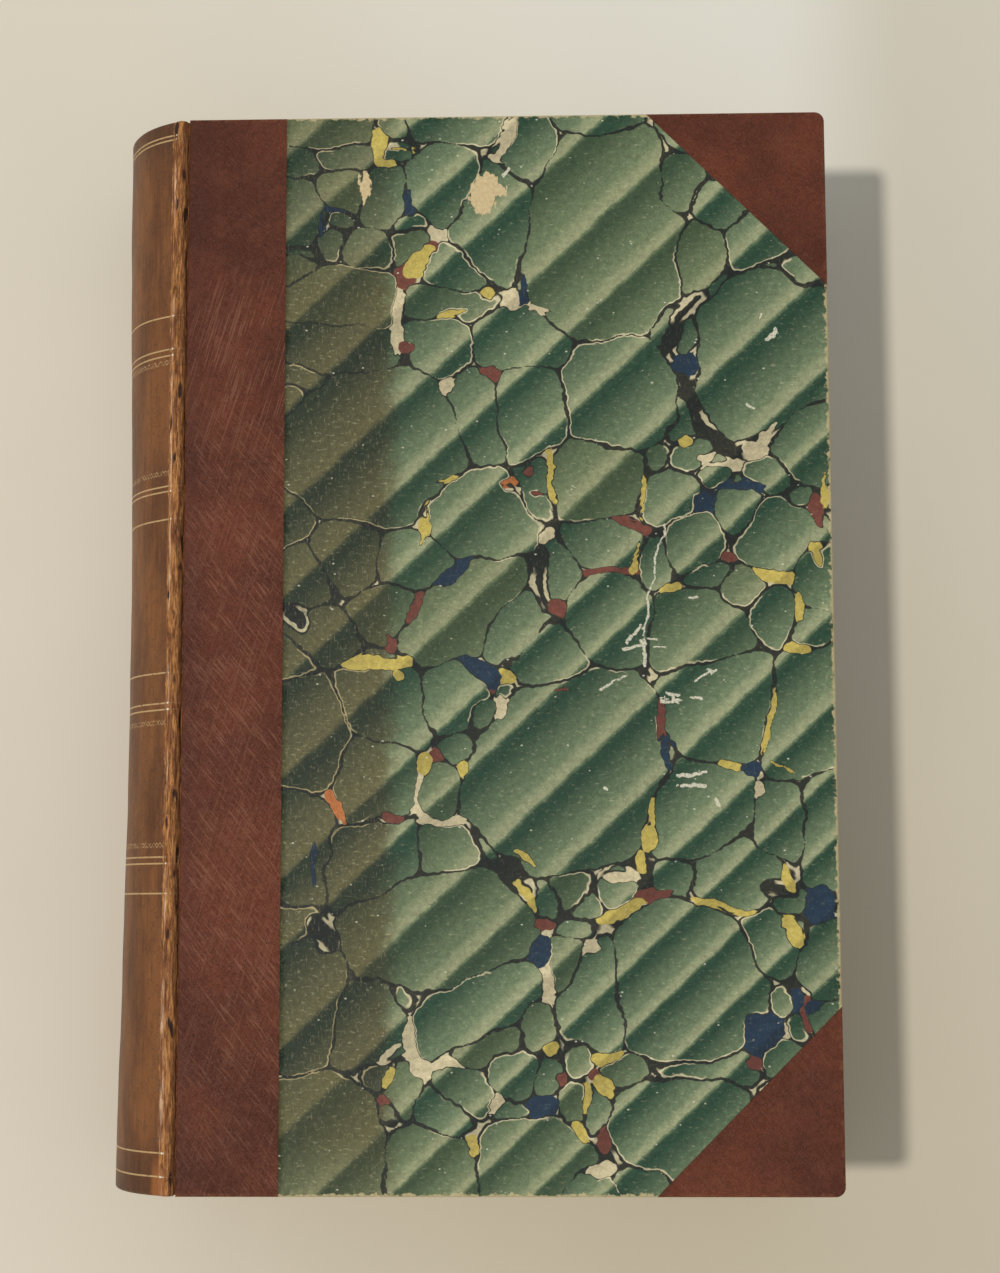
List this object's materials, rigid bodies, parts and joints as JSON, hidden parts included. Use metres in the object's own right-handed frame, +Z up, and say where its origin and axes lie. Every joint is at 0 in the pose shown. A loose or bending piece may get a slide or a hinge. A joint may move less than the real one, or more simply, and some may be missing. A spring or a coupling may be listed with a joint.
{
  "type": "hardback book",
  "caption": "Closed half-leather hardback book with a round gilt-ruled spine, leather corners and marbled paper sides; both covers open on their joints.",
  "frame": {"origin": "on the resting face, under the middle of the closed book's outline", "axes": "+X from the spine to the fore-edge, +Y from the tail to the head, +Z up through the front cover"},
  "size_m": [0.1474, 0.22, 0.042],
  "materials": {
    "calf_leather": "worn brown grained leather, dull sheen, gilt rules on the spine",
    "marbled_paper": "green waved marbled paper with dark veins and yellow, blue, red and cream drops, lightly polished and scuffed",
    "pasteboard": "grey-brown pressed board",
    "card": "thin pale card",
    "page_edges": "aged cream paper, cut edges",
    "endpaper": "plain aged cream paper",
    "hemp_cord": "twisted hemp, matt",
    "lining_linen": "open linen lining, matt",
    "endband_silk": "worked thread, faint sheen"
  },
  "bodies": {
    "text_block": {"text_block": "page_edges", "sewing_cords": "hemp_cord", "spine_lining": "lining_linen", "spine_inlay": "card", "spine_leather": "calf_leather", "head_endband": "endband_silk", "tail_endband": "endband_silk", "front_flyleaf": "endpaper", "back_flyleaf": "endpaper"},
    "front_cover": {"front_board": "pasteboard", "front_cord_slips": "hemp_cord", "front_leather_side": "calf_leather", "front_corner_head": "calf_leather", "front_corner_tail": "calf_leather", "front_filler": "card", "front_marbled_paper": "marbled_paper", "front_pastedown": "endpaper"},
    "back_cover": {"back_board": "pasteboard", "back_cord_slips": "hemp_cord", "back_leather_side": "calf_leather", "back_corner_head": "calf_leather", "back_corner_tail": "calf_leather", "back_filler": "card", "back_marbled_paper": "marbled_paper", "back_pastedown": "endpaper"}
  },
  "joints": [
    {"name": "front_cover_hinge", "type": "hinge", "parent": "text_block", "child": "front_cover", "pos_m": [-0.0583, 0, 0.0421], "axis": [0, -1, 0], "range_deg": [0, 180]},
    {"name": "back_cover_hinge", "type": "hinge", "parent": "text_block", "child": "back_cover", "pos_m": [-0.0583, 0, -0.0001], "axis": [0, 1, 0], "range_deg": [0, 180]}
  ]
}
